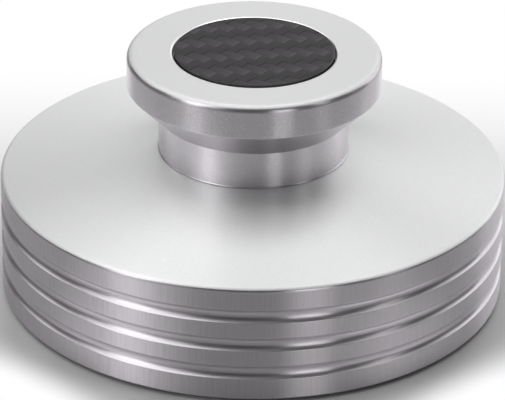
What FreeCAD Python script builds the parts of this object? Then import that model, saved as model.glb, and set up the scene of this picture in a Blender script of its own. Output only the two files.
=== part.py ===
import FreeCAD, Part
import math
import os

from FreeCAD import Rotation, Vector

# Record weight: a turned aluminium knob screwed on a grooved aluminium disc, with a carbon
# twill inlay in the knob's face and a soft pad under the disc.
# Millimetres. Z is the axis that all pieces are turned about, and Z = 0 is the surface that
# the pad rests on. Radii are taken from that axis.

# Base disc
base_radius = 40.0
rim_height = 19.1
cone_rise = 3.95
rim_rounding = 1.0
foot_chamfer = 0.35
seat_margin = 0.1

# Coves round the rim of the base disc: each is an arc this wide and deep
cove_count = 3
cove_pitch = 4.83
first_cove_drop = 4.7
cove_width = 2.25
cove_depth = 0.65

# Knob
neck_radius = 15.0
neck_height = 6.1
undercut_rise = 5.0
flange_radius = 20.0
flange_height = 5.35
flange_rounding = 1.1
flange_edge_rounding = 0.25
foot_break = 0.2

# Spigot that centres the knob on the base disc
spigot_radius = 9.0
spigot_height = 1.0
spigot_clearance = 0.03
spigot_floor_gap = 0.1
spigot_edge_break = 0.2

# Bore for the record player's spindle, which measures at most 7.24 across
spindle_radius = 3.62
spindle_clearance = 0.13
bore_lead_in = 0.5

# Low-head M3 socket screw that holds the knob, driven up the spindle bore
screw_radius = 1.5
screw_length = 10.0
screw_tip_chamfer = 0.3
screw_head_radius = 2.75
screw_head_height = 2.0
screw_head_break = 0.15
hex_across_flats = 2.0
hex_depth = 1.4
web_thickness = 3.2
head_side_clearance = 0.12
head_recess = 0.25
screw_hole_clearance = 0.2
thread_clearance = 0.02
thread_run_out = 1.5
drill_point_angle = 118.0

# Inlay of carbon cloth in resin, glued in the knob's face
inlay_radius = 12.6
inlay_thickness = 1.2
inlay_edge_rounding = 0.15
inlay_gap = 0.15
inlay_stands_proud = 0.12
inlay_glue_thickness = 0.15
recess_rounding = 0.4

# Two-by-two twill of the inlay: each tow lies over two crossing tows, then under two
tow_pitch = 1.9
tow_gap = 0.08
tow_crown = 0.06
tow_root = 0.1
twill_repeat = 4
float_tows = 2
weave_angle = -35.5
weave_shift = -0.25
weave_edge_margin = 0.05
smallest_float_share = 0.02

# Ring of soft pad that touches the record's label
pad_margin = 3.0
pad_thickness = 1.0
pad_stands_proud = 0.5
pad_side_clearance = 0.2
pad_glue_thickness = 0.15
hub_width = 5.0

# Roundings and coves are turned as short flats, none of them further than this from its arc
largest_flat_error = 0.045

# Heights that follow from the sizes above
underside = pad_stands_proud
rim_top = underside + rim_height
knob_seat = rim_top + cone_rise
spigot_face = knob_seat - spigot_height
socket_floor = spigot_face - spigot_floor_gap
head_seat = socket_floor - web_thickness
head_face = head_seat - screw_head_height
bore_end = head_face - head_recess
screw_tip = head_seat + screw_length
undercut_start = knob_seat + neck_height
flange_bottom = undercut_start + undercut_rise
knob_face = flange_bottom + flange_height
inlay_top = knob_face + inlay_stands_proud
inlay_bottom = inlay_top - inlay_thickness
recess_floor = inlay_bottom - inlay_glue_thickness
pad_recess_floor = pad_thickness + pad_glue_thickness

# Radii that follow from the sizes above
bore_radius = spindle_radius + spindle_clearance
thread_radius = screw_radius + thread_clearance
recess_radius = inlay_radius + inlay_gap
pad_recess_inner = bore_radius + bore_lead_in + hub_width
pad_recess_outer = base_radius - pad_margin
pad_inner = pad_recess_inner + pad_side_clearance
pad_outer = pad_recess_outer - pad_side_clearance

axis_foot = Vector(0, 0, 0)
up = Vector(0, 0, 1)


def arc_points(centre, radius, first_angle, last_angle):
    """Points (r, z) on an arc, as few as keep its flats close to it. Angles are in radians."""
    widest_step = 2 * math.acos(1 - largest_flat_error / radius)
    flats = math.ceil(abs(last_angle - first_angle) / widest_step)
    points = []
    for i in range(flats + 1):
        angle = first_angle + (last_angle - first_angle) * i / flats
        r = centre[0] + radius * math.cos(angle)
        z = centre[1] + radius * math.sin(angle)
        points.append((r, z))
    return points


def rounded_corner(last, corner, following):
    """Points (r, z) that round off a corner (r, z, rounding) between its two neighbours."""
    point = Vector(corner[0], 0, corner[1])
    to_last = (Vector(last[0], 0, last[1]) - point).normalize()
    to_next = (Vector(following[0], 0, following[1]) - point).normalize()
    inwards = (to_last + to_next).normalize()
    half_angle = to_last.getAngle(to_next) / 2
    centre = point + inwards * (corner[2] / math.sin(half_angle))
    middle_angle = math.atan2(-inwards.z, -inwards.x)
    half_turn = math.pi / 2 - half_angle
    if to_last.x * to_next.z - to_last.z * to_next.x > 0:
        half_turn = -half_turn
    return arc_points((centre.x, centre.z), corner[2], middle_angle - half_turn, middle_angle + half_turn)


def turned(corners):
    """Solid turned about Z. A corner is (r, z), or (r, z, rounding) where it is rounded off."""
    outline = []
    for i, corner in enumerate(corners):
        if len(corner) > 2:
            outline.extend(rounded_corner(corners[i - 1], corner, corners[(i + 1) % len(corners)]))
        else:
            outline.append(corner)
    points = [Vector(r, 0, z) for r, z in outline]
    return Part.Face(Part.makePolygon(points + points[:1])).revolve(axis_foot, up, 360)


def cove(height):
    """Points (r, z) of one cove in the rim, from its lower edge to its upper edge."""
    half_width = cove_width / 2
    radius = (half_width ** 2 + cove_depth ** 2) / (2 * cove_depth)
    half_angle = math.asin(half_width / radius)
    centre = (base_radius - cove_depth + radius, height)
    return arc_points(centre, radius, math.pi + half_angle, math.pi - half_angle)


def make_base_disc():
    """Disc with a flat seat and spigot socket on its cone, the stepped bore and the pad's recess."""
    head_pocket_radius = screw_head_radius + head_side_clearance
    screw_hole_radius = screw_radius + screw_hole_clearance
    spigot_socket_radius = spigot_radius + spigot_clearance
    coves = []
    for number in range(cove_count):
        coves.extend(reversed(cove(rim_top - first_cove_drop - number * cove_pitch)))
    return turned([
        (bore_radius + bore_lead_in, underside),
        (bore_radius, underside + bore_lead_in),
        (bore_radius, bore_end),
        (head_pocket_radius, bore_end),
        (head_pocket_radius, head_seat),
        (screw_hole_radius, head_seat),
        (screw_hole_radius, socket_floor),
        (spigot_socket_radius, socket_floor),
        (spigot_socket_radius, knob_seat),
        (neck_radius + seat_margin, knob_seat),
        (base_radius, rim_top, rim_rounding),
        *coves,
        (base_radius, underside + foot_chamfer),
        (base_radius - foot_chamfer, underside),
        (pad_recess_outer, underside),
        (pad_recess_outer, pad_recess_floor),
        (pad_recess_inner, pad_recess_floor),
        (pad_recess_inner, underside),
    ])


def make_knob():
    """Knob with its neck, undercut flange, inlay recess, spigot and blind tapped hole."""
    hole_end = screw_tip + thread_run_out
    drill_point = hole_end + thread_radius / math.tan(math.radians(drill_point_angle / 2))
    return turned([
        (0, drill_point),
        (thread_radius, hole_end),
        (thread_radius, spigot_face),
        (spigot_radius - spigot_edge_break, spigot_face),
        (spigot_radius, spigot_face + spigot_edge_break),
        (spigot_radius, knob_seat),
        (neck_radius - foot_break, knob_seat),
        (neck_radius, knob_seat + foot_break),
        (neck_radius, undercut_start),
        (flange_radius, flange_bottom, flange_edge_rounding),
        (flange_radius, knob_face, flange_rounding),
        (recess_radius, knob_face, recess_rounding),
        (recess_radius, recess_floor),
        (0, recess_floor),
    ])


def make_knob_screw():
    """Low-head socket screw with its head down: a turned blank with a hexagon sunk in the head."""
    blank = turned([
        (0, head_face),
        (screw_head_radius, head_face, screw_head_break),
        (screw_head_radius, head_seat),
        (screw_radius, head_seat),
        (screw_radius, screw_tip - screw_tip_chamfer),
        (screw_radius - screw_tip_chamfer, screw_tip),
        (0, screw_tip),
    ])
    corner_radius = hex_across_flats / 2 / math.cos(math.radians(30))
    corners = []
    for number in range(7):
        angle = math.radians(60 * number)
        x = corner_radius * math.cos(angle)
        y = corner_radius * math.sin(angle)
        corners.append(Vector(x, y, head_face))
    socket = Part.Face(Part.makePolygon(corners)).extrude(up * hex_depth)
    return blank.cut(socket)


def float_blank(surface):
    """One float of a tow, along X about the origin, domed across and rooted in the surface."""
    length = float_tows * tow_pitch - tow_gap
    half_width = (tow_pitch - tow_gap) / 2
    start = -length / 2
    root = surface - tow_root
    lower_left = Vector(start, -half_width, root)
    upper_left = Vector(start, -half_width, surface)
    crown = Vector(start, 0, surface + tow_crown)
    upper_right = Vector(start, half_width, surface)
    lower_right = Vector(start, half_width, root)
    section = Part.Wire([
        Part.makeLine(lower_left, upper_left),
        Part.Arc(upper_left, crown, upper_right).toShape(),
        Part.makeLine(upper_right, lower_right),
        Part.makeLine(lower_right, lower_left),
    ])
    return Part.Face(section).extrude(Vector(length, 0, 0))


def weave_floats(surface):
    """Floats of both sets of tows, cut off where they reach the disc's rounded edge."""
    weave_radius = inlay_radius - inlay_edge_rounding - weave_edge_margin
    trim_bottom = Vector(0, 0, surface - inlay_thickness)
    trim = Part.makeCylinder(weave_radius, 2 * inlay_thickness, trim_bottom, up)
    along_u = float_blank(surface)
    along_v = along_u.copy()
    along_v.rotate(axis_foot, up, 90)
    whole_volume = along_u.Volume
    reach = math.hypot(float_tows * tow_pitch, tow_pitch) / 2
    rows = math.ceil(weave_radius / tow_pitch) + 1
    turn = Rotation(up, weave_angle)
    floats = []
    for row in range(-rows, rows):
        for column in range(-rows, rows):
            step = (column - row) % twill_repeat
            if step == 0:
                blank = along_u
                middle = Vector(column + float_tows / 2, row + 0.5, 0) * tow_pitch
            elif step == float_tows + 1:
                blank = along_v
                middle = Vector(column + 0.5, row + float_tows / 2, 0) * tow_pitch
            else:
                continue
            middle = turn.multVec(middle + Vector(0, weave_shift, 0))
            if middle.Length - reach > weave_radius:
                continue
            tow = blank.copy()
            tow.rotate(axis_foot, up, weave_angle)
            tow.translate(middle)
            if middle.Length + reach > weave_radius:
                tow = tow.common(trim)
            if tow.Volume > smallest_float_share * whole_volume:
                floats.append(tow)
    return floats


def make_carbon_inlay():
    """Disc of resin-bound cloth with the twill's floats standing on its face."""
    surface = inlay_top - tow_crown
    disc = turned([
        (0, inlay_bottom),
        (inlay_radius, inlay_bottom),
        (inlay_radius, surface, inlay_edge_rounding),
        (0, surface),
    ])
    floats = weave_floats(surface)
    print("floats in the weave:", len(floats))
    return disc.multiFuse(floats)


def make_inlay_glue():
    """Double-sided film between the inlay and the floor of its recess."""
    return turned([
        (0, recess_floor),
        (inlay_radius, recess_floor),
        (inlay_radius, inlay_bottom),
        (0, inlay_bottom),
    ])


def make_pad_ring(bottom, top):
    """Flat ring in the pad's recess."""
    return turned([
        (pad_inner, bottom),
        (pad_outer, bottom),
        (pad_outer, top),
        (pad_inner, top),
    ])


pieces = {
    "base_disc": make_base_disc(),
    "knob": make_knob(),
    "knob_screw": make_knob_screw(),
    "carbon_inlay": make_carbon_inlay(),
    "inlay_glue": make_inlay_glue(),
    "label_pad": make_pad_ring(0, pad_thickness),
    "pad_glue": make_pad_ring(pad_thickness, pad_recess_floor),
}

os.makedirs("parts", exist_ok=True)
for name, shape in pieces.items():
    solid = shape.Solids[0]
    solid.exportStep("parts/" + name + ".step")
    print(name, "solids", len(shape.Solids), "valid", shape.isValid(), "volume", round(solid.Volume, 2))
print("height", round(inlay_top, 3), "bore radius", bore_radius)
print("bore wall from", underside + bore_lead_in, "to", round(bore_end, 3))
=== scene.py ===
# %% [markdown]
# # A turned aluminium record weight
# This lesson dresses a solid model of a record weight: a grooved aluminium disc, a knob to lift it
# by, and a round inlay of woven carbon cloth. Every hard piece of it comes off a lathe, so nearly
# all of its shapes are an outline that turns about one upright axis.
# The solid model is loaded first and stays as it is. Its boxes give the sizes. Six pieces that are
# made here take the place of five of its solids, and two hidden films of glue are carried over.

# %% Load the solid model
import math
import bpy
from mathutils import Matrix, Vector


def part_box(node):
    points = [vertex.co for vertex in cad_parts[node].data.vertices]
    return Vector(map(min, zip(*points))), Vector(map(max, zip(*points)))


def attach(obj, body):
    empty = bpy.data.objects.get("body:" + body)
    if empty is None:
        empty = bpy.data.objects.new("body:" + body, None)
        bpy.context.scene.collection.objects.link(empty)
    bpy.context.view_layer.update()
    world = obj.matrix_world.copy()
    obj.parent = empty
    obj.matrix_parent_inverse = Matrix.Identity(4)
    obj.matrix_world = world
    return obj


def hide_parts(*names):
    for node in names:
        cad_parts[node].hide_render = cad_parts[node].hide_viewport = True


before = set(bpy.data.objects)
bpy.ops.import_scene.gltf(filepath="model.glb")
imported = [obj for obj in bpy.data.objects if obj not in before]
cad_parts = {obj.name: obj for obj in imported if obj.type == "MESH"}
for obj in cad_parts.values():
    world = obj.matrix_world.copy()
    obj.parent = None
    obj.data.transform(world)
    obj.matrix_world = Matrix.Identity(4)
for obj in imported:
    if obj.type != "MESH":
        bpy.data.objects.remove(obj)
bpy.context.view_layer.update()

MM = 0.001
print("solids:", sorted(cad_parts))

# %% [markdown]
# ## The camera
# The photograph looks down on the weight from far away with a long lens, so its circles are nearly
# true ellipses. The place of the camera and its tilt were found by fitting those ellipses, and a
# slight roll belongs to it. Width and height of the picture are 505 by 400, and a sensor width of
# 36 mm turns the focal length into Blender's lens value.

# %% Camera
CAMERA_DISTANCE = 0.50336
CAMERA_HEIGHT = 0.27549
CAMERA_PITCH = math.radians(27.461)
CAMERA_ROLL = math.radians(0.793)
CAMERA_LENS = 253.51
SENSOR_WIDTH = 36.0
NEAREST_SEEN = 0.01

camera_data = bpy.data.cameras.new("photo_camera")
camera_data.lens = CAMERA_LENS
camera_data.sensor_width = SENSOR_WIDTH
camera_data.sensor_fit = "HORIZONTAL"
camera_data.clip_start = NEAREST_SEEN
camera = bpy.data.objects.new("photo_camera", camera_data)
bpy.context.collection.objects.link(camera)
tilt = Matrix.Rotation(math.pi / 2 - CAMERA_PITCH, 4, "X")
roll = Matrix.Rotation(CAMERA_ROLL, 4, "Z")
camera.matrix_world = Matrix.Translation((0, -CAMERA_DISTANCE, CAMERA_HEIGHT)) @ tilt @ roll
bpy.context.scene.camera = camera
bpy.context.scene.view_settings.view_transform = "Standard"
print("camera stands at", [round(v, 3) for v in camera.matrix_world.translation])

# %% [markdown]
# ## Helpers for node trees
# The same few steps come back in every node tree: add a node, fill its inputs with numbers or link
# them to other nodes, and pass its output on. Small functions for them let the trees below read
# like formulas. Groups get named inputs, so that their values can be changed in the modifier or in
# the material without opening the tree.

# %% Nodes
def add_node(tree, kind, inputs=None, **settings):
    """New node. An input is a value, or an output socket of another node, which is linked."""
    node = tree.nodes.new(kind)
    for name, value in settings.items():
        setattr(node, name, value)
    for key, value in (inputs or {}).items():
        if isinstance(value, bpy.types.NodeSocket):
            tree.links.new(value, node.inputs[key])
        else:
            node.inputs[key].default_value = value
    return node


def add_output(tree, kind, inputs=None, **settings):
    """First output of a new node."""
    return add_node(tree, kind, inputs, **settings).outputs[0]


def calculate(tree, operation, *values):
    """Output of a Math node on numbers and sockets."""
    return add_output(tree, "ShaderNodeMath", dict(enumerate(values)), operation=operation)


def product(tree, first, *factors):
    """Product of numbers and sockets."""
    for factor in factors:
        first = calculate(tree, "MULTIPLY", first, factor)
    return first


# %% Node groups
def add_socket(tree, direction, name, given):
    """Identifier of a new socket, given by its default number or by its kind in one word."""
    number_kind = "Float" if isinstance(given, float) else "Int"
    kind = given if isinstance(given, str) else number_kind
    socket = tree.interface.new_socket(name=name, in_out=direction, socket_type="NodeSocket" + kind)
    if kind != given:
        socket.default_value = given
    return socket.identifier


def new_group(name, kind, inputs, outputs):
    """Node group, the identifiers of its inputs by name, and the sockets that its nodes read."""
    tree = bpy.data.node_groups.new(name, kind)
    identifiers = {key: add_socket(tree, "INPUT", key, given) for key, given in inputs.items()}
    for key, given in outputs.items():
        add_socket(tree, "OUTPUT", key, given)
    return tree, identifiers, tree.nodes.new("NodeGroupInput").outputs


def end_tree(tree, shape, material):
    """Last nodes of a tree that makes a shape: Realize Instances, Set Material and the output."""
    shape = add_output(tree, "GeometryNodeRealizeInstances", {"Geometry": shape})
    shape = add_output(tree, "GeometryNodeSetMaterial", {"Geometry": shape, "Material": material})
    tree.links.new(shape, tree.nodes.new("NodeGroupOutput").inputs[0])
    print("the tree", tree.name, "has", len(tree.nodes), "nodes")


def run_tree(piece, tree, identifiers, values):
    """Runs a tree on the piece as a modifier and keeps the result as the piece's own mesh."""
    modifier = piece.modifiers.new(tree.name, "NODES")
    modifier.node_group = tree
    for key, value in values.items():
        modifier[identifiers[key]] = value
    evaluated = piece.evaluated_get(bpy.context.evaluated_depsgraph_get())
    old_mesh = piece.data
    piece.data = bpy.data.meshes.new_from_object(evaluated)
    piece.modifiers.clear()
    piece.data.materials.clear()
    piece.data.materials.append(values["Material"])
    piece.data.polygons.foreach_set("material_index", [0] * len(piece.data.polygons))
    piece.data.name = piece.name
    bpy.data.meshes.remove(old_mesh)


def new_object(name, data):
    item = bpy.data.objects.new(name, data)
    bpy.context.collection.objects.link(item)
    return item


# %% [markdown]
# ## The floor
# The object in the photograph is cut out and stands on pure white. Bare metal mirrors its floor,
# though, and the sides of this weight mirror a grey one. So the floor does both. For the lamps it is
# grey and a little glossy. On top of that an Emission of strength 1, which is plain white, is mixed
# in behind the weight and in the two places that the picture's lower corners show.
# Light Path decides which rays see that white: those from the camera, from metal and through glass
# do, and those that leave a matt surface don't. Close to the foot the floor stays grey for every
# ray, so the weight keeps its soft shadow there.

# %% Floor
FLOOR_HALF = 3.0
FLOOR_ROUGHNESS = 0.3
FLOOR_IOR = 1.8
floor_mesh = bpy.data.meshes.new("floor")
floor_corners = [(-FLOOR_HALF, -FLOOR_HALF, 0), (FLOOR_HALF, -FLOOR_HALF, 0),
                 (FLOOR_HALF, FLOOR_HALF, 0), (-FLOOR_HALF, FLOOR_HALF, 0)]
floor_mesh.from_pydata(floor_corners, [], [(0, 1, 2, 3)])
floor = new_object("floor", floor_mesh)

floor_paint = bpy.data.materials.new("pale_floor")
floor_paint.use_nodes = True
floor_mesh.materials.append(floor_paint)
paint = floor_paint.node_tree
floor_shader = paint.nodes["Principled BSDF"]
floor_shader.inputs["Roughness"].default_value = FLOOR_ROUGHNESS
floor_shader.inputs["IOR"].default_value = FLOOR_IOR

floor_place = add_node(paint, "ShaderNodeTexCoord").outputs["Object"]
floor_x, floor_y = add_node(paint, "ShaderNodeSeparateXYZ", {0: floor_place}).outputs[:2]
floor_aside = calculate(paint, "ABSOLUTE", floor_x)
floor_reach = add_node(paint, "ShaderNodeVectorMath", {0: floor_place}, operation="LENGTH").outputs["Value"]


def ramp(value, start, end, first=0.0, last=1.0):
    """Smooth change from a first value at the start to a last one at the end."""
    stops = {"Value": value, "From Min": start, "From Max": end, "To Min": first, "To Max": last}
    return add_output(paint, "ShaderNodeMapRange", stops, interpolation_type="SMOOTHSTEP")


# %% Grey of the floor
NEAR_GREY = 0.58
FAR_GREY = 0.54
GREY_START = 0.060
GREY_END = 0.110
grey = ramp(floor_reach, GREY_START, GREY_END, NEAR_GREY, FAR_GREY)
paint.links.new(grey, floor_shader.inputs["Base Color"])
print("floor grey", NEAR_GREY, "near the weight and", FAR_GREY, "further out")

# %% White parts of the floor
SWEEP_START = 0.0
SWEEP_END = 0.080
SWEEP_SIDE_START = 0.050
SWEEP_SIDE_END = 0.080
CORNER_X_START = 0.014
CORNER_X_END = 0.030
CORNER_Y_START = -0.034
CORNER_Y_END = -0.016
CORNER_NEAR_START = 0.041
CORNER_NEAR_END = 0.050
CORNER_FAR_START = 0.056
CORNER_FAR_END = 0.064
sweep = product(paint, ramp(floor_y, SWEEP_START, SWEEP_END),
                ramp(floor_aside, SWEEP_SIDE_START, SWEEP_SIDE_END, 1.0, 0.0))
corner_patch = product(paint, ramp(floor_aside, CORNER_X_START, CORNER_X_END),
                       ramp(floor_y, CORNER_Y_START, CORNER_Y_END, 1.0, 0.0),
                       ramp(floor_reach, CORNER_NEAR_START, CORNER_NEAR_END),
                       ramp(floor_reach, CORNER_FAR_START, CORNER_FAR_END, 1.0, 0.0))
path = add_node(paint, "ShaderNodeLightPath").outputs
seen = calculate(paint, "MAXIMUM", path["Is Camera Ray"], path["Is Glossy Ray"])
seen = calculate(paint, "MAXIMUM", seen, path["Is Transmission Ray"])
share = product(paint, calculate(paint, "MAXIMUM", sweep, corner_patch), seen)
white = add_output(paint, "ShaderNodeEmission", {"Color": (1, 1, 1, 1), "Strength": 1.0})
mixed = add_output(paint, "ShaderNodeMixShader", {0: share, 1: floor_shader.outputs[0], 2: white})
paint.links.new(mixed, paint.nodes["Material Output"].inputs["Surface"])
print("floor turns white from", SWEEP_START, "to", SWEEP_END, "m behind the weight")

# %% [markdown]
# ## Softboxes
# Bare metal has hardly any colour of its own: what one sees on it is the studio, so each box has a
# task. The camera sees an upright wall as a mirror that looks at twice the wall's own angle from
# the front. The turning rings spread that view up and down, so a narrow box at 54 degrees on the
# left draws the upright streak at 27 degrees on the rim and the neck. The tops are satin and gather
# light from a wide angle, mostly from the boxes above and behind. The boxes at the sides and low
# behind fill the far ends of the rim and the hollows of its coves.
# Each box is an area lamp that is aimed at the weight. The power of a lamp follows from the
# brightness that its face should have, because power = brightness x area x pi.

# %% Softboxes
AIM = Vector((0, 0, 0.025))
WORLD_STRENGTH = 0.03


def softbox(name, azimuth, elevation, distance, width, height, brightness):
    """Area lamp that faces the weight. Azimuth 0 is the camera's side and 90 is on the right.

    Angles are in degrees, and distance, width and height in metres.
    """
    turn = math.radians(azimuth)
    rise = math.radians(elevation)
    way = Vector((math.sin(turn) * math.cos(rise), -math.cos(turn) * math.cos(rise), math.sin(rise)))
    lamp = bpy.data.lights.new(name, "AREA")
    lamp.shape = "RECTANGLE"
    lamp.size = width
    lamp.size_y = height
    lamp.energy = brightness * width * height * math.pi
    holder = new_object(name, lamp)
    holder.location = AIM + way * distance
    holder.rotation_euler = way.to_track_quat("Z", "Y").to_euler()
    print("softbox", name, "power", round(lamp.energy, 3), "W")


softbox("overhead_box", 200, 80, 0.50, 0.36, 0.36, 1.65)
softbox("high_left_box", -66, 60, 1.00, 0.62, 0.50, 1.6)
softbox("high_right_box", 90, 58, 1.00, 0.46, 0.40, 1.0)
softbox("high_front_box", 0, 62, 1.00, 0.40, 0.50, 0.24)
softbox("high_back_right_box", 140, 62, 1.00, 0.45, 0.45, 1.95)
softbox("high_back_left_box", -128, 48, 0.50, 0.25, 0.25, 1.05)
softbox("back_box", 180, 29, 0.33, 0.36, 0.19, 0.78)
softbox("back_right_box", 126, 20, 0.33, 0.16, 0.25, 1.15)
softbox("side_back_right_box", 110, 33, 1.00, 0.40, 0.46, 0.68)
softbox("side_back_left_box", -116, 33, 1.00, 0.50, 0.46, 0.66)
softbox("low_back_right_box", 154, 12, 1.00, 0.55, 0.50, 0.8)
softbox("low_back_left_box", -144, 12, 1.00, 0.34, 0.50, 0.25)
softbox("left_fill_box", -55, 32, 1.00, 0.85, 0.42, 0.75)
softbox("left_key_box", -54, 27, 0.95, 0.32, 0.44, 1.80)
softbox("low_left_box", -54, 7, 1.00, 0.24, 0.22, 1.2)
softbox("left_box", -88, 46, 1.00, 0.30, 0.50, 0.7)
softbox("right_front_box", 25, 12, 1.00, 0.28, 0.36, 2.0)
softbox("right_box", 64, 28, 1.00, 0.17, 0.56, 0.95)

world = bpy.data.worlds.new("studio")
world.use_nodes = True
background = world.node_tree.nodes["Background"].inputs
background["Color"].default_value = (1, 1, 1, 1)
background["Strength"].default_value = WORLD_STRENGTH
bpy.context.scene.world = world

# %% [markdown]
# ## A lathe made of Geometry Nodes
# A lathe cuts an outline while the work turns. The node tree does the same: it takes a chain of
# points that lies in the XZ plane, lays a grid with one row for each point and one column for each
# step of the turn, and rotates each copied point about Z by its column's angle. The last column
# meets the first, and Merge by Distance sews the two together and closes the poles.
# A Spin or a Screw modifier would turn a simple outline as well. The tree keeps the number of
# steps as a named input, which can be changed at any time, and it sets the material by itself.

# %% The lathe tree
LATHE_STEPS = 384
MERGE_REACH = 1e-6
lathe, lathe_ids, given = new_group(
    "lathe", "GeometryNodeTree",
    {"Outline": "Geometry", "Steps": LATHE_STEPS, "Material": "Material"}, {"Turned": "Geometry"})
rows = add_output(lathe, "GeometryNodeAttributeDomainSize", {"Geometry": given["Outline"]})
columns = calculate(lathe, "ADD", given["Steps"], 1)
blank = add_output(lathe, "GeometryNodeMeshGrid", {"Vertices X": rows, "Vertices Y": columns})
index = add_output(lathe, "GeometryNodeInputIndex")
middle_of_point = calculate(lathe, "ADD", index, 0.5)
row = calculate(lathe, "FLOOR", calculate(lathe, "DIVIDE", middle_of_point, columns))
column = calculate(lathe, "SUBTRACT", index, product(lathe, row, columns))
outline_place = add_output(lathe, "GeometryNodeInputPosition")
outline_point = add_output(lathe, "GeometryNodeSampleIndex",
                           {"Geometry": given["Outline"], "Value": outline_place, "Index": row},
                           data_type="FLOAT_VECTOR")
angle = calculate(lathe, "DIVIDE", product(lathe, column, 2 * math.pi), given["Steps"])
turned_point = add_output(lathe, "ShaderNodeVectorRotate", {"Vector": outline_point, "Angle": angle},
                          rotation_type="Z_AXIS")
turned = add_output(lathe, "GeometryNodeSetPosition", {"Geometry": blank, "Position": turned_point})
turned = add_output(lathe, "GeometryNodeMergeByDistance", {"Geometry": turned, "Distance": MERGE_REACH})
turned = add_output(lathe, "GeometryNodeSetShadeSmooth", {"Geometry": turned})
end_tree(lathe, turned, given["Material"])

# %% [markdown]
# ## Outlines
# An outline is a list of corners in millimetres: the radius, the height and, where the turner
# rounded the corner off, the rounding. The function below turns each rounded corner into a fine
# arc. It adds a point close to both ends of each arc, because smooth shading otherwise spreads the
# arc's normals over the whole flat face beside it, and a flat face would look dented.

# %% Outline helpers
ARC_STEP = math.radians(7)
BRACE = 0.05


def arc(centre, radius, first, last):
    """Points on an arc about a centre (r, z), from one angle to another."""
    count = max(2, math.ceil(abs(last - first) / ARC_STEP))
    angles = [first + (last - first) * i / count for i in range(count + 1)]
    return [(centre[0] + radius * math.cos(a), centre[1] + radius * math.sin(a)) for a in angles]


def braced(points, start, end):
    """Points of an arc between two points just outside it, on the way to its neighbours."""
    first = Vector(points[0])
    last = Vector(points[-1])
    before = first + (Vector(start) - first).normalized() * BRACE
    after = last + (Vector(end) - last).normalized() * BRACE
    return [tuple(before), *points, tuple(after)]


def rounded_off(corners):
    """Closed outline from corners (r, z) or (r, z, rounding)."""
    outline = []
    for i, item in enumerate(corners):
        if len(item) == 2:
            outline.append(item)
            continue
        point = Vector(item[:2])
        last = Vector(corners[i - 1][:2])
        following = Vector(corners[(i + 1) % len(corners)][:2])
        to_last = (last - point).normalized()
        to_next = (following - point).normalized()
        inwards = (to_last + to_next).normalized()
        half_angle = to_last.angle(to_next) / 2
        centre = point + inwards * (item[2] / math.sin(half_angle))
        middle = math.atan2(-inwards.y, -inwards.x)
        half_turn = math.pi / 2 - half_angle
        if to_last.cross(to_next) > 0:
            half_turn = -half_turn
        points = arc(centre, item[2], middle - half_turn, middle + half_turn)
        outline += braced(points, last, following)
    return outline + outline[:1]


# %% Turning a piece
SHARP_EDGE = math.radians(20)


def turn_piece(name, outline, material, steps=LATHE_STEPS):
    """Piece turned from an outline, which first gets the direction that turns its faces outwards."""
    neighbours = zip(outline, outline[1:] + outline[:1])
    if sum(r * next_z - next_r * z for (r, z), (next_r, next_z) in neighbours) > 0:
        outline = outline[::-1]
    mesh = bpy.data.meshes.new(name)
    edges = [(i, i + 1) for i in range(len(outline) - 1)]
    mesh.from_pydata([(r * MM, 0, z * MM) for r, z in outline], edges, [])
    piece = new_object(name, mesh)
    run_tree(piece, lathe, lathe_ids, {"Steps": steps, "Material": material})
    piece.data.set_sharp_from_angle(angle=SHARP_EDGE)
    print(name, "outline points", len(outline), "faces", len(piece.data.polygons))
    return piece


# %% [markdown]
# ## Surface effects that several finishes share
# Three marks tell how metal was worked. A turning tool leaves fine rings, which follow the
# outline. Chatter of the tool leaves faint upright streaks, which change with the direction from
# the axis and hardly with the height. Beads or acid leave an even grain.
# One node group makes all three from Object coordinates, and each finish sets how strong they are.
# A mark that a finish doesn't name is off, apart from a faint grain.

# %% The group of working marks
marks, _, marks_in = new_group(
    "working_marks", "ShaderNodeTree",
    {"Ring Scale": 7000.0, "Ring Depth": 0.0, "Streak Scale": 160.0, "Streak Contrast": 0.0,
     "Grain Scale": 6000.0, "Grain Contrast": 0.03, "Grain Depth": 0.0, "Roughness": 0.3,
     "Streak Roughness": 0.0, "Grain Roughness": 0.0},
    {"Tone": "Float", "Roughness": "Float", "Height": "Float"})
place = add_node(marks, "ShaderNodeTexCoord").outputs["Object"]
place_x, place_y, place_z = add_node(marks, "ShaderNodeSeparateXYZ", {0: place}).outputs
flat_place = add_output(marks, "ShaderNodeCombineXYZ", {"X": place_x, "Y": place_y})
radius = add_node(marks, "ShaderNodeVectorMath", {0: flat_place}, operation="LENGTH").outputs["Value"]
direction = add_output(marks, "ShaderNodeVectorMath", {0: flat_place}, operation="NORMALIZE")
way_x, way_y = add_node(marks, "ShaderNodeSeparateXYZ", {0: direction}).outputs[:2]
streak_place = add_output(marks, "ShaderNodeCombineXYZ", {"X": way_x, "Y": way_y, "Z": place_z})
streak = add_output(marks, "ShaderNodeTexNoise",
                    {"Vector": streak_place, "Scale": marks_in["Streak Scale"], "Detail": 2.0})
along_outline = calculate(marks, "ADD", radius, place_z)
ring = add_output(marks, "ShaderNodeTexNoise",
                  {"W": along_outline, "Scale": marks_in["Ring Scale"], "Detail": 1.0},
                  noise_dimensions="1D")
grain = add_output(marks, "ShaderNodeTexNoise",
                   {"Vector": place, "Scale": marks_in["Grain Scale"], "Detail": 1.0})


def around_zero(value, strength):
    """A 0 to 1 noise made to swing about zero by a strength."""
    return product(marks, calculate(marks, "MULTIPLY_ADD", value, 2.0, -1.0), strength)


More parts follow.
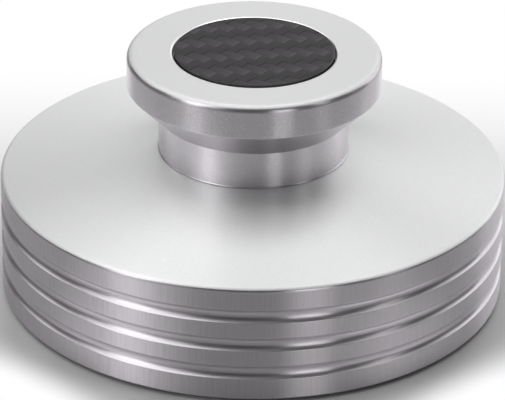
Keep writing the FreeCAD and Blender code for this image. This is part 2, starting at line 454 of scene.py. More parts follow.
tone = calculate(marks, "ADD", around_zero(streak, marks_in["Streak Contrast"]),
                 around_zero(grain, marks_in["Grain Contrast"]))
mark_roughness = calculate(marks, "ADD", around_zero(streak, marks_in["Streak Roughness"]),
                           around_zero(grain, marks_in["Grain Roughness"]))
mark_height = calculate(marks, "ADD", product(marks, ring, marks_in["Ring Depth"]),
                        product(marks, grain, marks_in["Grain Depth"]))
add_node(marks, "NodeGroupOutput",
         {"Tone": calculate(marks, "ADD", tone, 1.0),
          "Roughness": calculate(marks, "ADD", marks_in["Roughness"], mark_roughness),
          "Height": mark_height})
print("the group", marks.name, "has", len(marks.nodes), "nodes")

# %% Materials with working marks
MARK_DEPTH = 1e-6
SMALL_PIECE_MARK_DEPTH = 2e-5


def marked_material(name, color, roughness, mark_depth, mark_values):
    """Material that takes its tone, its roughness and its bump from the working marks."""
    material = bpy.data.materials.new(name)
    material.use_nodes = True
    tree = material.node_tree
    shader = tree.nodes["Principled BSDF"].inputs
    worked = add_node(tree, "ShaderNodeGroup", node_tree=marks)
    worked.inputs["Roughness"].default_value = roughness
    for key, value in mark_values.items():
        worked.inputs[key.replace("_", " ").title()].default_value = value
    shade = add_output(tree, "ShaderNodeVectorMath", {0: color, "Scale": worked.outputs["Tone"]},
                       operation="SCALE")
    bump = add_output(tree, "ShaderNodeBump", {"Height": worked.outputs["Height"], "Distance": mark_depth})
    tree.links.new(shade, shader["Base Color"])
    tree.links.new(worked.outputs["Roughness"], shader["Roughness"])
    tree.links.new(bump, shader["Normal"])
    return material


def plain_material(name, color, roughness):
    """Material with a fine grain for small and hidden pieces."""
    return marked_material(name, color, roughness, SMALL_PIECE_MARK_DEPTH,
                           {"grain_contrast": 0.2, "grain_depth": 0.3, "grain_roughness": 0.03,
                            "streak_scale": 60.0, "streak_roughness": 0.03})


# %% [markdown]
# ## Aluminium finishes
# The disc's top is satin with faint rings, and the knob's face is blasted and even. The lands
# between the coves carry fine upright streaks, and the neck and the flange are cut finer and shine
# more. The coves and the roundings are a smooth cut. All of these are one aluminium, but the cut
# finishes get a darker colour than the satin top, which is painted shade, and the lip round the
# inlay is brighter still, which is a painted highlight.
# Rings run round the work, so light spreads far across the rings and little along them. The
# Anisotropic value does that, with a Radial tangent about Z, and a quarter turn puts the long side
# of the highlight across the rings.
# One piece has several finishes. A rule chooses for each face by its slope, which is the upward
# part of its normal: satin on a top, the turned finish on an upright wall, the smooth cut elsewhere.

# %% Aluminium
QUARTER_TURN = 0.25


def bare_metal(name, color, roughness, anisotropic, **mark_values):
    """Metal that mirrors the light in a streak across its turning rings."""
    material = marked_material(name, color, roughness, MARK_DEPTH, mark_values)
    tree = material.node_tree
    shader = tree.nodes["Principled BSDF"].inputs
    shader["Metallic"].default_value = 1.0
    shader["Anisotropic"].default_value = anisotropic
    shader["Anisotropic Rotation"].default_value = QUARTER_TURN
    tangent = add_output(tree, "ShaderNodeTangent", direction_type="RADIAL", axis="Z")
    tree.links.new(tangent, shader["Tangent"])
    return material


# The cut colour is darker than the satin ones although the metal is the same: painted shade.
SATIN_COLOR = (0.90, 0.907, 0.903)
BLASTED_COLOR = (0.79, 0.797, 0.793)
CUT_COLOR_WITH_PAINTED_SHADE = (0.668, 0.637, 0.676)
# A painted highlight: the lip round the inlay gets a lighter colour than the same aluminium elsewhere.
PAINTED_HIGHLIGHT_COLOR = (0.93, 0.93, 0.93)
satin_cone = bare_metal("satin_turned_aluminium", SATIN_COLOR, roughness=0.55, anisotropic=0.70,
                        ring_depth=0.2, grain_contrast=0.10, grain_depth=0.6, grain_roughness=0.03)
satin_face = bare_metal("satin_blasted_aluminium", BLASTED_COLOR, roughness=0.60, anisotropic=0.10,
                        grain_contrast=0.06, grain_depth=0.6, grain_roughness=0.03)
turned_side = bare_metal("turned_aluminium", CUT_COLOR_WITH_PAINTED_SHADE, roughness=0.40, anisotropic=0.95,
                         streak_contrast=0.15, streak_roughness=0.08, grain_contrast=0.06,
                         grain_roughness=0.03)
turned_neck = bare_metal("fine_turned_aluminium", CUT_COLOR_WITH_PAINTED_SHADE, roughness=0.22, anisotropic=0.90,
                         streak_contrast=0.10, streak_roughness=0.03, grain_contrast=0.35,
                         grain_depth=0.2, grain_roughness=0.10)
smooth_cut = bare_metal("smooth_cut_aluminium", CUT_COLOR_WITH_PAINTED_SHADE, roughness=0.31, anisotropic=0.80)
painted_highlight_cut = bare_metal("painted_highlight_aluminium", PAINTED_HIGHLIGHT_COLOR, roughness=0.35, anisotropic=0.50)
print("finishes:", [finish.name for finish in (satin_cone, satin_face, turned_side, turned_neck, smooth_cut,
                                               painted_highlight_cut)])

# %% Rules for the finishes
TURNED, SATIN, SMOOTH, PAINTED_HIGHLIGHT = range(4)
TOP_SLOPE = 0.985
WALL_SLOPE = 0.05
EDGE_REACH = 1.5


def finish_faces(piece, finishes, choose):
    """Lets a rule choose each face's finish from the face's radius, height and slope."""
    for finish in finishes:
        piece.data.materials.append(finish)
    for face in piece.data.polygons:
        face.material_index = choose(face.center.xy.length / MM, face.center.z / MM, face.normal.z)


def finish_by_slope(slope, satin_slope=TOP_SLOPE):
    """Satin over a slope, the turned finish on an upright wall and a smooth cut on the rest."""
    if slope > satin_slope:
        return SATIN
    return SMOOTH if abs(slope) > WALL_SLOPE else TURNED


def near_upper_edge(radius, height, edge_radius, edge_height, rounding):
    """Whether a face is in the rounding of a piece's outer upper edge or close to it."""
    reach = EDGE_REACH * rounding
    return radius > edge_radius - reach and height > edge_height - reach


# %% [markdown]
# ## The base disc
# The disc is one piece of bar: a shallow cone on top, three coves round the rim, a stepped bore for
# the spindle and the screw, and a shallow recess for the pad underneath. The coves are true arcs
# with a tiny rounding on both lips, which catches a thin line of light. Those thin lines are what
# makes a turned edge look real, so they are in the mesh and not in a bump map.

# %% Sizes of the base disc
base_low, base_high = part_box("base_disc")
knob_low, knob_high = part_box("knob")
inlay_low, inlay_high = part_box("carbon_inlay")
screw_low, screw_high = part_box("knob_screw")
pad_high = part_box("label_pad")[1]

BASE_RADIUS = base_high.x / MM
UNDERSIDE = base_low.z / MM
KNOB_SEAT = base_high.z / MM
RIM_HEIGHT = 19.1
RIM_TOP = UNDERSIDE + RIM_HEIGHT
RIM_ROUNDING = 0.75
RIM_SATIN_SLOPE = 0.55
FOOT_CHAMFER = 0.35
FOOT_ROUNDING = 0.1
NECK_RADIUS = 15.0
SEAT_MARGIN = 0.1
COVE_COUNT = 3
COVE_PITCH = 4.83
FIRST_COVE_DROP = 4.7
COVE_WIDTH = 2.25
COVE_DEPTH = 0.65
LIP_ROUNDING = 0.12
BORE_RADIUS = 3.75
BORE_LEAD_IN = 0.5
HEAD_RECESS = 0.25
BORE_END = screw_low.z / MM - HEAD_RECESS
HEAD_GAP = 0.12
HEAD_POCKET_RADIUS = screw_high.x / MM + HEAD_GAP
HEAD_HEIGHT = 2.0
HEAD_SEAT = screw_low.z / MM + HEAD_HEIGHT
SCREW_HOLE_RADIUS = 1.7
SPIGOT_RADIUS = 9.0
SPIGOT_FACE = knob_low.z / MM
SPIGOT_END_GAP = 0.1
SPIGOT_SIDE_GAP = 0.03
SOCKET_FLOOR = SPIGOT_FACE - SPIGOT_END_GAP
SOCKET_RADIUS = SPIGOT_RADIUS + SPIGOT_SIDE_GAP
GLUE_THICKNESS = 0.15
BORE_RIM_WIDTH = 5.0
OUTER_RIM_WIDTH = 3.0
PAD_RECESS_INNER = BORE_RADIUS + BORE_LEAD_IN + BORE_RIM_WIDTH
PAD_RECESS_OUTER = BASE_RADIUS - OUTER_RIM_WIDTH
PAD_RECESS_FLOOR = pad_high.z / MM + GLUE_THICKNESS


def cove(height):
    """Points of one cove from its upper lip to its lower lip, with both lips rounded off."""
    half_width = COVE_WIDTH / 2
    radius = (half_width ** 2 + COVE_DEPTH ** 2) / (2 * COVE_DEPTH)
    centre = Vector((BASE_RADIUS - COVE_DEPTH + radius, height))
    lip_r = BASE_RADIUS - LIP_ROUNDING
    lip_rise = math.sqrt((radius + LIP_ROUNDING) ** 2 - (centre.x - lip_r) ** 2)
    lean = math.atan2(lip_rise, centre.x - lip_r)
    upper = arc((lip_r, height + lip_rise), LIP_ROUNDING, 0, -lean)
    hollow = arc(centre, radius, math.pi - lean, math.pi + lean)
    lower = arc((lip_r, height - lip_rise), LIP_ROUNDING, lean, 0)
    points = upper + hollow[1:-1] + lower
    return braced(points, (BASE_RADIUS, height + COVE_PITCH), (BASE_RADIUS, height - COVE_PITCH))


# %% Base disc
coves = []
for number in range(COVE_COUNT):
    coves += cove(RIM_TOP - FIRST_COVE_DROP - number * COVE_PITCH)
base_outline = rounded_off([
    (BORE_RADIUS + BORE_LEAD_IN, UNDERSIDE),
    (BORE_RADIUS, UNDERSIDE + BORE_LEAD_IN),
    (BORE_RADIUS, BORE_END),
    (HEAD_POCKET_RADIUS, BORE_END),
    (HEAD_POCKET_RADIUS, HEAD_SEAT),
    (SCREW_HOLE_RADIUS, HEAD_SEAT),
    (SCREW_HOLE_RADIUS, SOCKET_FLOOR),
    (SOCKET_RADIUS, SOCKET_FLOOR),
    (SOCKET_RADIUS, KNOB_SEAT),
    (NECK_RADIUS + SEAT_MARGIN, KNOB_SEAT),
    (BASE_RADIUS, RIM_TOP, RIM_ROUNDING),
    *coves,
    (BASE_RADIUS, UNDERSIDE + FOOT_CHAMFER, FOOT_ROUNDING),
    (BASE_RADIUS - FOOT_CHAMFER, UNDERSIDE, FOOT_ROUNDING),
    (PAD_RECESS_OUTER, UNDERSIDE),
    (PAD_RECESS_OUTER, PAD_RECESS_FLOOR),
    (PAD_RECESS_INNER, PAD_RECESS_FLOOR),
    (PAD_RECESS_INNER, UNDERSIDE),
])
base = turn_piece("grooved_base", base_outline, turned_side)


def base_finish(radius, height, slope):
    """The satin of the top runs over the upper part of the rim's rounding."""
    on_rim = near_upper_edge(radius, height, BASE_RADIUS, RIM_TOP, RIM_ROUNDING)
    return finish_by_slope(slope, RIM_SATIN_SLOPE if on_rim else TOP_SLOPE)


finish_faces(base, [satin_cone, smooth_cut], base_finish)
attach(base, "root")
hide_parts("base_disc")

# %% [markdown]
# ## The knob
# The knob is a second piece of bar. Its neck stands on the disc, an undercut at 45 degrees leads
# out to the flange, and the flange's upper edge has a large rounding. The recess for the inlay has
# a rounded lip, which shows as a white line round the black disc: the rounding catches light, and
# a lighter colour on it adds a painted highlight.

# %% Knob
FLANGE_RADIUS = knob_high.x / MM
KNOB_FACE = knob_high.z / MM
NECK_HEIGHT = 6.1
UNDERCUT_HEIGHT = 5.0
UNDERCUT_START = KNOB_SEAT + NECK_HEIGHT
FLANGE_BOTTOM = UNDERCUT_START + UNDERCUT_HEIGHT
FLANGE_ROUNDING = 1.1
FLANGE_EDGE_ROUNDING = 0.25
FLANGE_SATIN_SLOPE = 0.70
FOOT_BREAK = 0.15
FOOT_FLARE = 0.13
FLARE_ROUNDING = 0.03
SPIGOT_BREAK = 0.2
INLAY_RADIUS = inlay_high.x / MM
INLAY_BOTTOM = inlay_low.z / MM
INLAY_TOP = inlay_high.z / MM
INLAY_GAP = 0.15
RECESS_RADIUS = INLAY_RADIUS + INLAY_GAP
RECESS_ROUNDING = 0.5
RECESS_FLOOR = INLAY_BOTTOM - GLUE_THICKNESS
LIP_REACH = 2 * RECESS_ROUNDING
THREAD_RADIUS = 1.52
THREAD_RUN_OUT = 1.5
HALF_DRILL_POINT = math.radians(59)
HOLE_END = screw_high.z / MM + THREAD_RUN_OUT
DRILL_POINT = HOLE_END + THREAD_RADIUS / math.tan(HALF_DRILL_POINT)

knob_outline = rounded_off([
    (0, DRILL_POINT),
    (THREAD_RADIUS, HOLE_END),
    (THREAD_RADIUS, SPIGOT_FACE),
    (SPIGOT_RADIUS - SPIGOT_BREAK, SPIGOT_FACE),
    (SPIGOT_RADIUS, SPIGOT_FACE + SPIGOT_BREAK),
    (SPIGOT_RADIUS, KNOB_SEAT),
    (NECK_RADIUS - FOOT_BREAK, KNOB_SEAT),
    (NECK_RADIUS + FOOT_FLARE, KNOB_SEAT + FOOT_BREAK, FLARE_ROUNDING),
    (NECK_RADIUS, KNOB_SEAT + 2 * FOOT_BREAK),
    (NECK_RADIUS, UNDERCUT_START),
    (FLANGE_RADIUS, FLANGE_BOTTOM, FLANGE_EDGE_ROUNDING),
    (FLANGE_RADIUS, KNOB_FACE, FLANGE_ROUNDING),
    (RECESS_RADIUS, KNOB_FACE, RECESS_ROUNDING),
    (RECESS_RADIUS, RECESS_FLOOR),
    (0, RECESS_FLOOR),
])
knob = turn_piece("flanged_knob", knob_outline[:-1], turned_neck)


def knob_finish(radius, height, slope):
    """The satin covers the upper part of the flange's rounding; the recess lip gets a painted highlight."""
    if near_upper_edge(radius, height, FLANGE_RADIUS, KNOB_FACE, FLANGE_ROUNDING):
        return finish_by_slope(slope, FLANGE_SATIN_SLOPE)
    if height > KNOB_FACE - LIP_REACH and WALL_SLOPE < slope < TOP_SLOPE:
        return PAINTED_HIGHLIGHT
    return finish_by_slope(slope)


finish_faces(knob, [satin_face, smooth_cut, painted_highlight_cut], knob_finish)
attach(knob, "root")
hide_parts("knob")

# %% [markdown]
# ## The woven inlay
# Carbon cloth is woven from flat bundles of fibre, called tows. In a two-by-two twill each tow lies
# over two crossing tows and then dives under two, and each row starts one tow further on, which
# gives the slanting steps. A tow that lies on top shows as a float, two tows long and one wide.
# The tree makes the cloth from that rule. It lays a grid whose lines follow the tows, works out
# which float each point belongs to, and lifts the point by a dome across and along that float.
# The floats of one set lean: they rise from one end to the other. The other set lies flatter.
# Points crowd near the edges of a float, where the dome is steep. Everything past the disc's edge
# is deleted and the border is drawn onto the circle. The result is extruded into a closed sheet.
# Three attributes are stored for the material: the direction across the fibres, a place on the
# cloth that runs along them, and painted light and shade, which grows towards the high end of a
# leaning float, ends there in a painted glint, and is a painted shade on the flatter set.

# %% Sizes of the weave
TOW_PITCH = 1.9
WEAVE_ANGLE = math.radians(-35.5)
WEAVE_SHIFT = -0.4
WEAVE_TOWS = 14
WEAVE_CELLS = 12
RESIN_RING = 0.13
WEAVE_RADIUS = INLAY_RADIUS - RESIN_RING
FLOAT_CROWN = 0.11
SIDE_DIP = 0.3
SIDE_POWER = 6.0
END_DIP = 0.8
END_POWER = 3.0
FLOAT_LEAN = 0.35
SHEET_DEPTH = 0.2
CROWDING = 0.6
FLAT_LIFT = 0.9
FLAT_DIP_SHARE = 0.35

# Painted light: leaning floats grow lighter to a painted glint at their high end; the flat set is shaded.
PAINTED_LIGHT_START = 0.85
PAINTED_LIGHT_RISE = 1.0
PAINTED_LIGHT_POWER = 1.5
PAINTED_GLINT = 1.5
PAINTED_GLINT_POWER = 20.0
PAINTED_FLAT_SHADE = 0.55

# %% The weave tree
REPEAT = 4.0
FLOAT_TOWS = 2.0
EDGE_NUDGE = 1e-4
SEAM_REACH = 1e-7
weave, weave_ids, cloth = new_group(
    "twill", "GeometryNodeTree",
    {"Blank": "Geometry", "Tow Pitch": 0.0019, "Cloth Angle": 0.0, "Cloth Shift": 0.0,
     "Radius": 0.012, "Top": 0.04, "Crown": 0.0001, "Side Dip": 0.4, "Side Power": 6.0,
     "End Dip": 0.8, "End Power": 3.0, "Lean": 0.5, "Depth": 0.0002, "Tows": 14, "Cells": 12,
     "Material": "Material"},
    {"Cloth": "Geometry"})


def weave_math(operation, *values):
    return calculate(weave, operation, *values)


def in_plane(x, y, z=0.0):
    return add_output(weave, "ShaderNodeCombineXYZ", {"X": x, "Y": y, "Z": z})


def moved(mesh, **inputs):
    """Mesh behind a Set Position node."""
    return add_output(weave, "GeometryNodeSetPosition", {"Geometry": mesh, **inputs})


def tow_number(coordinate):
    """Whole number of the tow at a place, and the share of its width, from 0 to 1."""
    in_tows = weave_math("DIVIDE", coordinate, cloth["Tow Pitch"])
    number = weave_math("FLOOR", weave_math("ADD", in_tows, EDGE_NUDGE))
    return number, weave_math("SUBTRACT", in_tows, number)


def crowded(coordinate):
    """The same place with the points drawn towards the tow's two edges."""
    number, share = tow_number(coordinate)
    wave = weave_math("COSINE", weave_math("MULTIPLY", share, math.pi))
    eased = weave_math("MULTIPLY_ADD", wave, -0.5, 0.5)
    drawn = weave_math("ADD", weave_math("MULTIPLY", eased, CROWDING),
                       weave_math("MULTIPLY", share, 1 - CROWDING))
    return weave_math("MULTIPLY", weave_math("ADD", number, drawn), cloth["Tow Pitch"])


# %% Grid of the cloth and its floats
span = weave_math("MULTIPLY", cloth["Tows"], cloth["Tow Pitch"])
lines = weave_math("ADD", weave_math("MULTIPLY", cloth["Tows"], cloth["Cells"]), 1)
sheet = add_output(weave, "GeometryNodeMeshGrid",
                   {"Size X": span, "Size Y": span, "Vertices X": lines, "Vertices Y": lines})
here = add_output(weave, "GeometryNodeInputPosition")
here_u, here_v = add_node(weave, "ShaderNodeSeparateXYZ", {0: here}).outputs[:2]
sheet = moved(sheet, Position=in_plane(crowded(here_u), crowded(here_v)))
tow_u, share_u = tow_number(here_u)
tow_v, share_v = tow_number(here_v)
step = weave_math("FLOORED_MODULO", weave_math("SUBTRACT", tow_u, tow_v), REPEAT)
u_on_top = weave_math("LESS_THAN", step, FLOAT_TOWS - 0.5)
step_v = weave_math("SUBTRACT", REPEAT - 1, step)
along_u = weave_math("DIVIDE", weave_math("ADD", share_u, step), FLOAT_TOWS)
along_v = weave_math("DIVIDE", weave_math("ADD", share_v, step_v), FLOAT_TOWS)


def chosen(if_u, if_v):
    """if_u where the tow along u is on top, if_v elsewhere."""
    return weave_math("MULTIPLY_ADD", u_on_top, weave_math("SUBTRACT", if_u, if_v), if_v)


def dome(share, dip, power):
    """1 in the middle of a float, and less by the dip at both of its edges."""
    from_middle = weave_math("ABSOLUTE", weave_math("MULTIPLY_ADD", share, 2.0, -1.0))
    fall = weave_math("MULTIPLY", dip, weave_math("POWER", from_middle, power))
    return weave_math("SUBTRACT", 1.0, fall)


side_dip = chosen(cloth["Side Dip"], weave_math("MULTIPLY", cloth["Side Dip"], FLAT_DIP_SHARE))
end_dip = chosen(cloth["End Dip"], weave_math("MULTIPLY", cloth["End Dip"], FLAT_DIP_SHARE))
below = weave_math("MULTIPLY", cloth["Lean"], weave_math("SUBTRACT", 1.0, along_u))
lean = weave_math("SUBTRACT", 1.0, below)
lift = product(weave, dome(chosen(share_v, share_u), side_dip, cloth["Side Power"]),
               dome(chosen(along_u, along_v), end_dip, cloth["End Power"]),
               chosen(lean, FLAT_LIFT), cloth["Crown"])


# %% Attributes for the material
def stored(mesh, name, kind, domain, value):
    return add_output(weave, "GeometryNodeStoreNamedAttribute",
                      {"Geometry": mesh, "Name": name, "Value": value}, data_type=kind, domain=domain)


cloth_sine = weave_math("SINE", cloth["Cloth Angle"])
cloth_cosine = weave_math("COSINE", cloth["Cloth Angle"])
side_u = in_plane(weave_math("MULTIPLY", cloth_sine, -1.0), cloth_cosine)
side_v = in_plane(cloth_cosine, cloth_sine)
side = add_node(weave, "ShaderNodeMix", {0: u_on_top, 4: side_v, 5: side_u}, data_type="VECTOR")
sheet = stored(sheet, "across_fibres", "FLOAT_VECTOR", "FACE", side.outputs[1])
fibre_place = in_plane(chosen(here_u, here_v), chosen(here_v, here_u), u_on_top)
sheet = stored(sheet, "fibre_place", "FLOAT_VECTOR", "CORNER", fibre_place)
# Painted light rising along each leaning float, a painted glint at its end, painted shade on the flat set.
rise = weave_math("MULTIPLY_ADD", weave_math("POWER", along_u, PAINTED_LIGHT_POWER), PAINTED_LIGHT_RISE, PAINTED_LIGHT_START)
painted_glint = weave_math("MULTIPLY", weave_math("POWER", along_u, PAINTED_GLINT_POWER), PAINTED_GLINT)
sheet = stored(sheet, "painted_light_and_shade", "FLOAT", "CORNER", chosen(weave_math("ADD", rise, painted_glint), PAINTED_FLAT_SHADE))
sheet = stored(sheet, "lift", "FLOAT", "POINT", lift)

# %% Trimming and thickness of the cloth
shifted = in_plane(here_u, weave_math("ADD", here_v, cloth["Cloth Shift"]))
swung = add_output(weave, "ShaderNodeVectorRotate", {"Vector": shifted, "Angle": cloth["Cloth Angle"]},
                   rotation_type="Z_AXIS")
sheet = moved(sheet, Position=swung)
reach = add_node(weave, "ShaderNodeVectorMath", {0: here}, operation="LENGTH").outputs["Value"]
outside = weave_math("GREATER_THAN", reach, cloth["Radius"])
sheet = add_output(weave, "GeometryNodeDeleteGeometry", {"Geometry": sheet, "Selection": outside},
                   domain="FACE")
edge_faces = add_output(weave, "GeometryNodeInputMeshEdgeNeighbors")
on_border = add_output(weave, "FunctionNodeCompare", {2: edge_faces, 3: 1}, data_type="INT",
                       operation="EQUAL")
outwards = add_output(weave, "ShaderNodeVectorMath", {0: here}, operation="NORMALIZE")
on_circle = add_output(weave, "ShaderNodeVectorMath", {0: outwards, "Scale": cloth["Radius"]},
                       operation="SCALE")
sheet = moved(sheet, Selection=on_border, Position=on_circle)
bottom = moved(sheet, Offset=in_plane(0.0, 0.0, weave_math("SUBTRACT", cloth["Top"], cloth["Depth"])))
raised = add_node(weave, "GeometryNodeExtrudeMesh",
                  {"Mesh": bottom, "Offset": in_plane(0.0, 0.0, 1.0), "Offset Scale": cloth["Depth"],
                   "Individual": False}, mode="FACES").outputs
known_lift = add_output(weave, "GeometryNodeInputNamedAttribute", {"Name": "lift"}, data_type="FLOAT")
drop = in_plane(0.0, 0.0, weave_math("SUBTRACT", known_lift, cloth["Crown"]))
top = moved(raised["Mesh"], Selection=raised["Top"], Offset=drop)
underside = add_output(weave, "GeometryNodeFlipFaces", {"Mesh": bottom})
whole = add_node(weave, "GeometryNodeJoinGeometry")
weave.links.new(top, whole.inputs[0])
weave.links.new(underside, whole.inputs[0])
sheet = add_output(weave, "GeometryNodeMergeByDistance",
                   {"Geometry": whole.outputs[0], "Distance": SEAM_REACH})
sheet = add_output(weave, "GeometryNodeSetShadeSmooth", {"Geometry": sheet})
end_tree(weave, sheet, cloth["Material"])

# %% [markdown]
# ## Carbon in resin
# A carbon fibre is a thin, dark, shiny rod. Thousands of them side by side throw the light in a
# band across their length, so the two sets of tows look light and dark by turns although they are
# the same black. The Anisotropic value does part of this, with the stored direction as its tangent,
# and painted light and shade does the rest. Fine dark and light filaments follow the tow, from a
# noise that is drawn out along the fibres. The stored painted light and shade multiplies their
# colour: painted shade on the flatter set, and on each leaning float a painted light that grows
# towards its high end, with a painted glint there. A faint purple cast is there as in the photograph.

# %% Carbon material
CARBON_VALUES = {"Anisotropic": 0.8, "Roughness": 0.38, "IOR": 1.35, "Specular Tint": (1.0, 0.95, 1.0, 1)}
DARK_FILAMENT = (0.0145, 0.013, 0.0145, 1)
LIGHT_FILAMENT = (0.058, 0.0525, 0.058, 1)
FILAMENT_SCALE = 12000.0
FILAMENT_STRETCH = 0.04
FILAMENT_DEPTH = 2e-6
carbon = bpy.data.materials.new("carbon_cloth")
carbon.use_nodes = True
carbon_tree = carbon.node_tree
carbon_shader = carbon_tree.nodes["Principled BSDF"].inputs
for key, value in CARBON_VALUES.items():
    carbon_shader[key].default_value = value


def stored_value(name, output):
    """Output of a node that reads an attribute of the mesh."""
    return add_node(carbon_tree, "ShaderNodeAttribute", attribute_name=name).outputs[output]


drawn_out = add_output(carbon_tree, "ShaderNodeMapping", {"Vector": stored_value("fibre_place", "Vector"),
                                                          "Scale": (FILAMENT_STRETCH, 1.0, 1.0)})
filaments = add_output(carbon_tree, "ShaderNodeTexNoise",
                       {"Vector": drawn_out, "Scale": FILAMENT_SCALE, "Detail": 2.0})
shades = add_node(carbon_tree, "ShaderNodeMix", {0: filaments, 6: DARK_FILAMENT, 7: LIGHT_FILAMENT},
                  data_type="RGBA").outputs[2]
# The filament colour times the painted light and shade of the weave.
tow_color_with_painted_light = add_output(carbon_tree, "ShaderNodeVectorMath",
                       {0: shades, "Scale": stored_value("painted_light_and_shade", "Fac")}, operation="SCALE")
filament_bump = add_output(carbon_tree, "ShaderNodeBump", {"Height": filaments, "Distance": FILAMENT_DEPTH})
carbon_tree.links.new(tow_color_with_painted_light, carbon_shader["Base Color"])
carbon_tree.links.new(filament_bump, carbon_shader["Normal"])
carbon_tree.links.new(stored_value("across_fibres", "Vector"), carbon_shader["Tangent"])

# %% Woven inlay
resin = plain_material("black_resin", (0.012, 0.012, 0.013), roughness=0.35)
cloth_mesh = bpy.data.meshes.new("woven_inlay")
cloth_mesh.from_pydata([(0, 0, 0)], [], [])
cloth_piece = new_object("woven_inlay", cloth_mesh)
run_tree(cloth_piece, weave, weave_ids, {
    "Tow Pitch": TOW_PITCH * MM, "Cloth Angle": WEAVE_ANGLE, "Cloth Shift": WEAVE_SHIFT * MM,
    "Radius": WEAVE_RADIUS * MM, "Top": INLAY_TOP * MM, "Crown": FLOAT_CROWN * MM,
    "Side Dip": SIDE_DIP, "Side Power": SIDE_POWER, "End Dip": END_DIP, "End Power": END_POWER,
    "Lean": FLOAT_LEAN, "Depth": SHEET_DEPTH * MM, "Tows": WEAVE_TOWS, "Cells": WEAVE_CELLS,
    "Material": carbon})
print("cloth faces", len(cloth_piece.data.polygons))

BED_DEPTH = 0.005
RESIN_BED = INLAY_TOP - FLOAT_CROWN - BED_DEPTH
RING_DROP = 0.01
RING_TOP = INLAY_TOP - RING_DROP
RING_ROUNDING = 0.1
RING_OVERLAP = 0.02
RING_INNER = WEAVE_RADIUS - RING_OVERLAP
inlay_body = turn_piece("inlay_body", rounded_off([
    (0, INLAY_BOTTOM),
    (INLAY_RADIUS, INLAY_BOTTOM),
    (INLAY_RADIUS, RING_TOP, RING_ROUNDING),
    (RING_INNER, RING_TOP),
    (RING_INNER, RESIN_BED),
    (0, RESIN_BED),
])[:-1], resin)
for piece in (cloth_piece, inlay_body):
    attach(piece, "root")
    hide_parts("carbon_inlay")

# %% [markdown]
# ## The screw that holds the knob
# The knob is pulled down by a low-head screw that is driven up the bore. The lathe tree turns its
# blank, and a second tree cuts the thread and the hexagon by moving points. On a thread the
# radius depends on height and angle together: height divided by the pitch, less the share of a
# turn, is a number whose fraction runs from 0 to 1 over each groove. On a hexagon the radius
# depends on the angle from the middle of a side.

# %% The thread tree
SIXTH = math.pi / 3
NARROWEST = 1e-6
thread, thread_ids, cut = new_group(
    "thread_and_hexagon", "GeometryNodeTree",
    {"Blank": "Geometry", "Pitch": 0.0005, "Depth": 0.0003, "Thread Start": 0.0, "Thread End": 0.01,
     "Hexagon Corner": 0.001, "Hexagon Top": 0.0, "Material": "Material"},
    {"Cut": "Geometry"})


def thread_math(operation, *values):
    return calculate(thread, operation, *values)


cut_place = add_output(thread, "GeometryNodeInputPosition")
point_x, point_y, point_z = add_node(thread, "ShaderNodeSeparateXYZ", {0: cut_place}).outputs
around = thread_math("ARCTAN2", point_y, point_x)
wide = thread_math("SQRT", thread_math("ADD", thread_math("POWER", point_x, 2.0),
                                       thread_math("POWER", point_y, 2.0)))
winding = thread_math("SUBTRACT", thread_math("DIVIDE", point_z, cut["Pitch"]),
                      thread_math("DIVIDE", around, 2 * math.pi))
groove = thread_math("ABSOLUTE", thread_math("MULTIPLY_ADD", thread_math("FRACT", winding), 2.0, -1.0))
on_shank = product(thread, thread_math("GREATER_THAN", point_z, cut["Thread Start"]),
                   thread_math("LESS_THAN", point_z, cut["Thread End"]),
                   thread_math("GREATER_THAN", wide, cut["Depth"]))
cut_away = product(thread, groove, cut["Depth"], on_shank)
thread_factor = thread_math("DIVIDE", thread_math("SUBTRACT", wide, cut_away),
                            thread_math("MAXIMUM", wide, NARROWEST))
from_side = thread_math("SUBTRACT", thread_math("FLOORED_MODULO", around, SIXTH), SIXTH / 2)
hexagon_factor = thread_math("DIVIDE", math.cos(SIXTH / 2), thread_math("COSINE", from_side))
in_head = product(thread, thread_math("COMPARE", wide, cut["Hexagon Corner"], NARROWEST),
                  thread_math("LESS_THAN", point_z, cut["Hexagon Top"]))
factor = thread_math("ADD", product(thread, in_head, hexagon_factor),
                     product(thread, thread_math("SUBTRACT", 1.0, in_head), thread_factor))
cut_x = product(thread, point_x, factor)
cut_y = product(thread, point_y, factor)
cut_point = add_output(thread, "ShaderNodeCombineXYZ", {"X": cut_x, "Y": cut_y, "Z": point_z})
cut_shape = add_output(thread, "GeometryNodeSetPosition", {"Geometry": cut["Blank"], "Position": cut_point})
end_tree(thread, cut_shape, cut["Material"])

# %% Knob screw
SCREW_RADIUS = 1.5
SCREW_PITCH = 0.5
THREAD_DEPTH = 0.3
THREAD_START = HEAD_SEAT + SCREW_PITCH / 2
RINGS_PER_PITCH = 8
SCREW_STEPS = 96
SCREW_SHARP_EDGE = math.radians(30)
HEAD_RADIUS = screw_high.x / MM
HEAD_FACE = screw_low.z / MM
HEAD_BREAK = 0.15
SCREW_TIP = screw_high.z / MM
TIP_CHAMFER = 0.3
HEXAGON_HALF_WIDTH = 1.0
HEXAGON_CORNER = HEXAGON_HALF_WIDTH / math.cos(SIXTH / 2)
HEXAGON_DEPTH = 1.4
HEXAGON_TOP = HEAD_FACE + HEXAGON_DEPTH
HEXAGON_MARGIN = 0.01

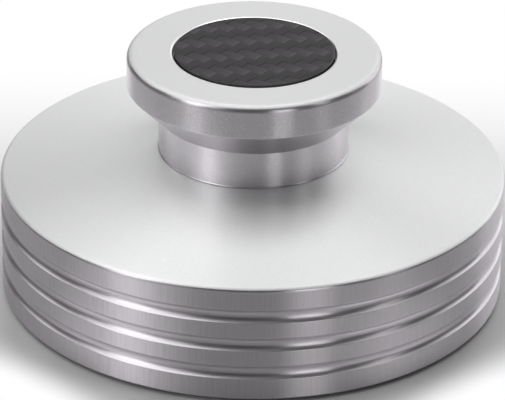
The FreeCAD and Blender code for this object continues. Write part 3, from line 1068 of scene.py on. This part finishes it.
dark_steel = bare_metal("dark_steel", (0.16, 0.16, 0.165), roughness=0.32, anisotropic=0.3,
                        ring_depth=0.3, streak_scale=60.0, streak_contrast=0.03,
                        streak_roughness=0.03, grain_depth=0.3, grain_roughness=0.03)
ring_count = round((SCREW_TIP - TIP_CHAMFER - HEAD_SEAT) / SCREW_PITCH * RINGS_PER_PITCH)
shank = [(SCREW_RADIUS, HEAD_SEAT + i * SCREW_PITCH / RINGS_PER_PITCH) for i in range(ring_count)]
screw = turn_piece("threaded_screw", [
    (0, HEXAGON_TOP),
    (HEXAGON_CORNER, HEXAGON_TOP),
    (HEXAGON_CORNER, HEAD_FACE),
    (HEAD_RADIUS - HEAD_BREAK, HEAD_FACE),
    (HEAD_RADIUS, HEAD_FACE + HEAD_BREAK),
    (HEAD_RADIUS, HEAD_SEAT),
    *shank,
    (SCREW_RADIUS, SCREW_TIP - TIP_CHAMFER),
    (SCREW_RADIUS - TIP_CHAMFER, SCREW_TIP),
    (0, SCREW_TIP),
], dark_steel, steps=SCREW_STEPS)
run_tree(screw, thread, thread_ids, {
    "Pitch": SCREW_PITCH * MM, "Depth": THREAD_DEPTH * MM, "Thread Start": THREAD_START * MM,
    "Thread End": SCREW_TIP * MM, "Hexagon Corner": HEXAGON_CORNER * MM,
    "Hexagon Top": (HEXAGON_TOP + HEXAGON_MARGIN) * MM, "Material": dark_steel})
screw.data.set_sharp_from_angle(angle=SCREW_SHARP_EDGE)
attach(screw, "root")
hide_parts("knob_screw")
print("screw faces", len(screw.data.polygons))

# %% [markdown]
# ## The pad and the films of glue
# The pad is a ring that was punched out of rubber sheet, so its edges are only just rounded. It is
# turned as well, because a ring is a ring. The two films of glue are hidden and already have their
# right form in the solid model, so they stay and get a finish.

# %% Pad
PAD_GAP = 0.2
PAD_OUTER = pad_high.x / MM
PAD_INNER = PAD_RECESS_INNER + PAD_GAP
PAD_TOP = pad_high.z / MM
PAD_EDGE = 0.12
PAD_STEPS = 256
rubber = plain_material("rubber_sheet", (0.028, 0.028, 0.029), roughness=0.75)
pad = turn_piece("soft_pad", rounded_off([
    (PAD_INNER, 0, PAD_EDGE),
    (PAD_OUTER, 0, PAD_EDGE),
    (PAD_OUTER, PAD_TOP, PAD_EDGE),
    (PAD_INNER, PAD_TOP, PAD_EDGE),
]), rubber, steps=PAD_STEPS)
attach(pad, "root")
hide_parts("label_pad")

# %% Films of glue
film = plain_material("glue_film", (0.72, 0.70, 0.64), roughness=0.5)
for node_name in ("inlay_glue", "pad_glue"):
    node_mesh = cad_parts[node_name].data
    for slot_number in range(len(node_mesh.materials)):
        node_mesh.materials[slot_number] = film
    print(node_name, "faces", len(node_mesh.polygons))
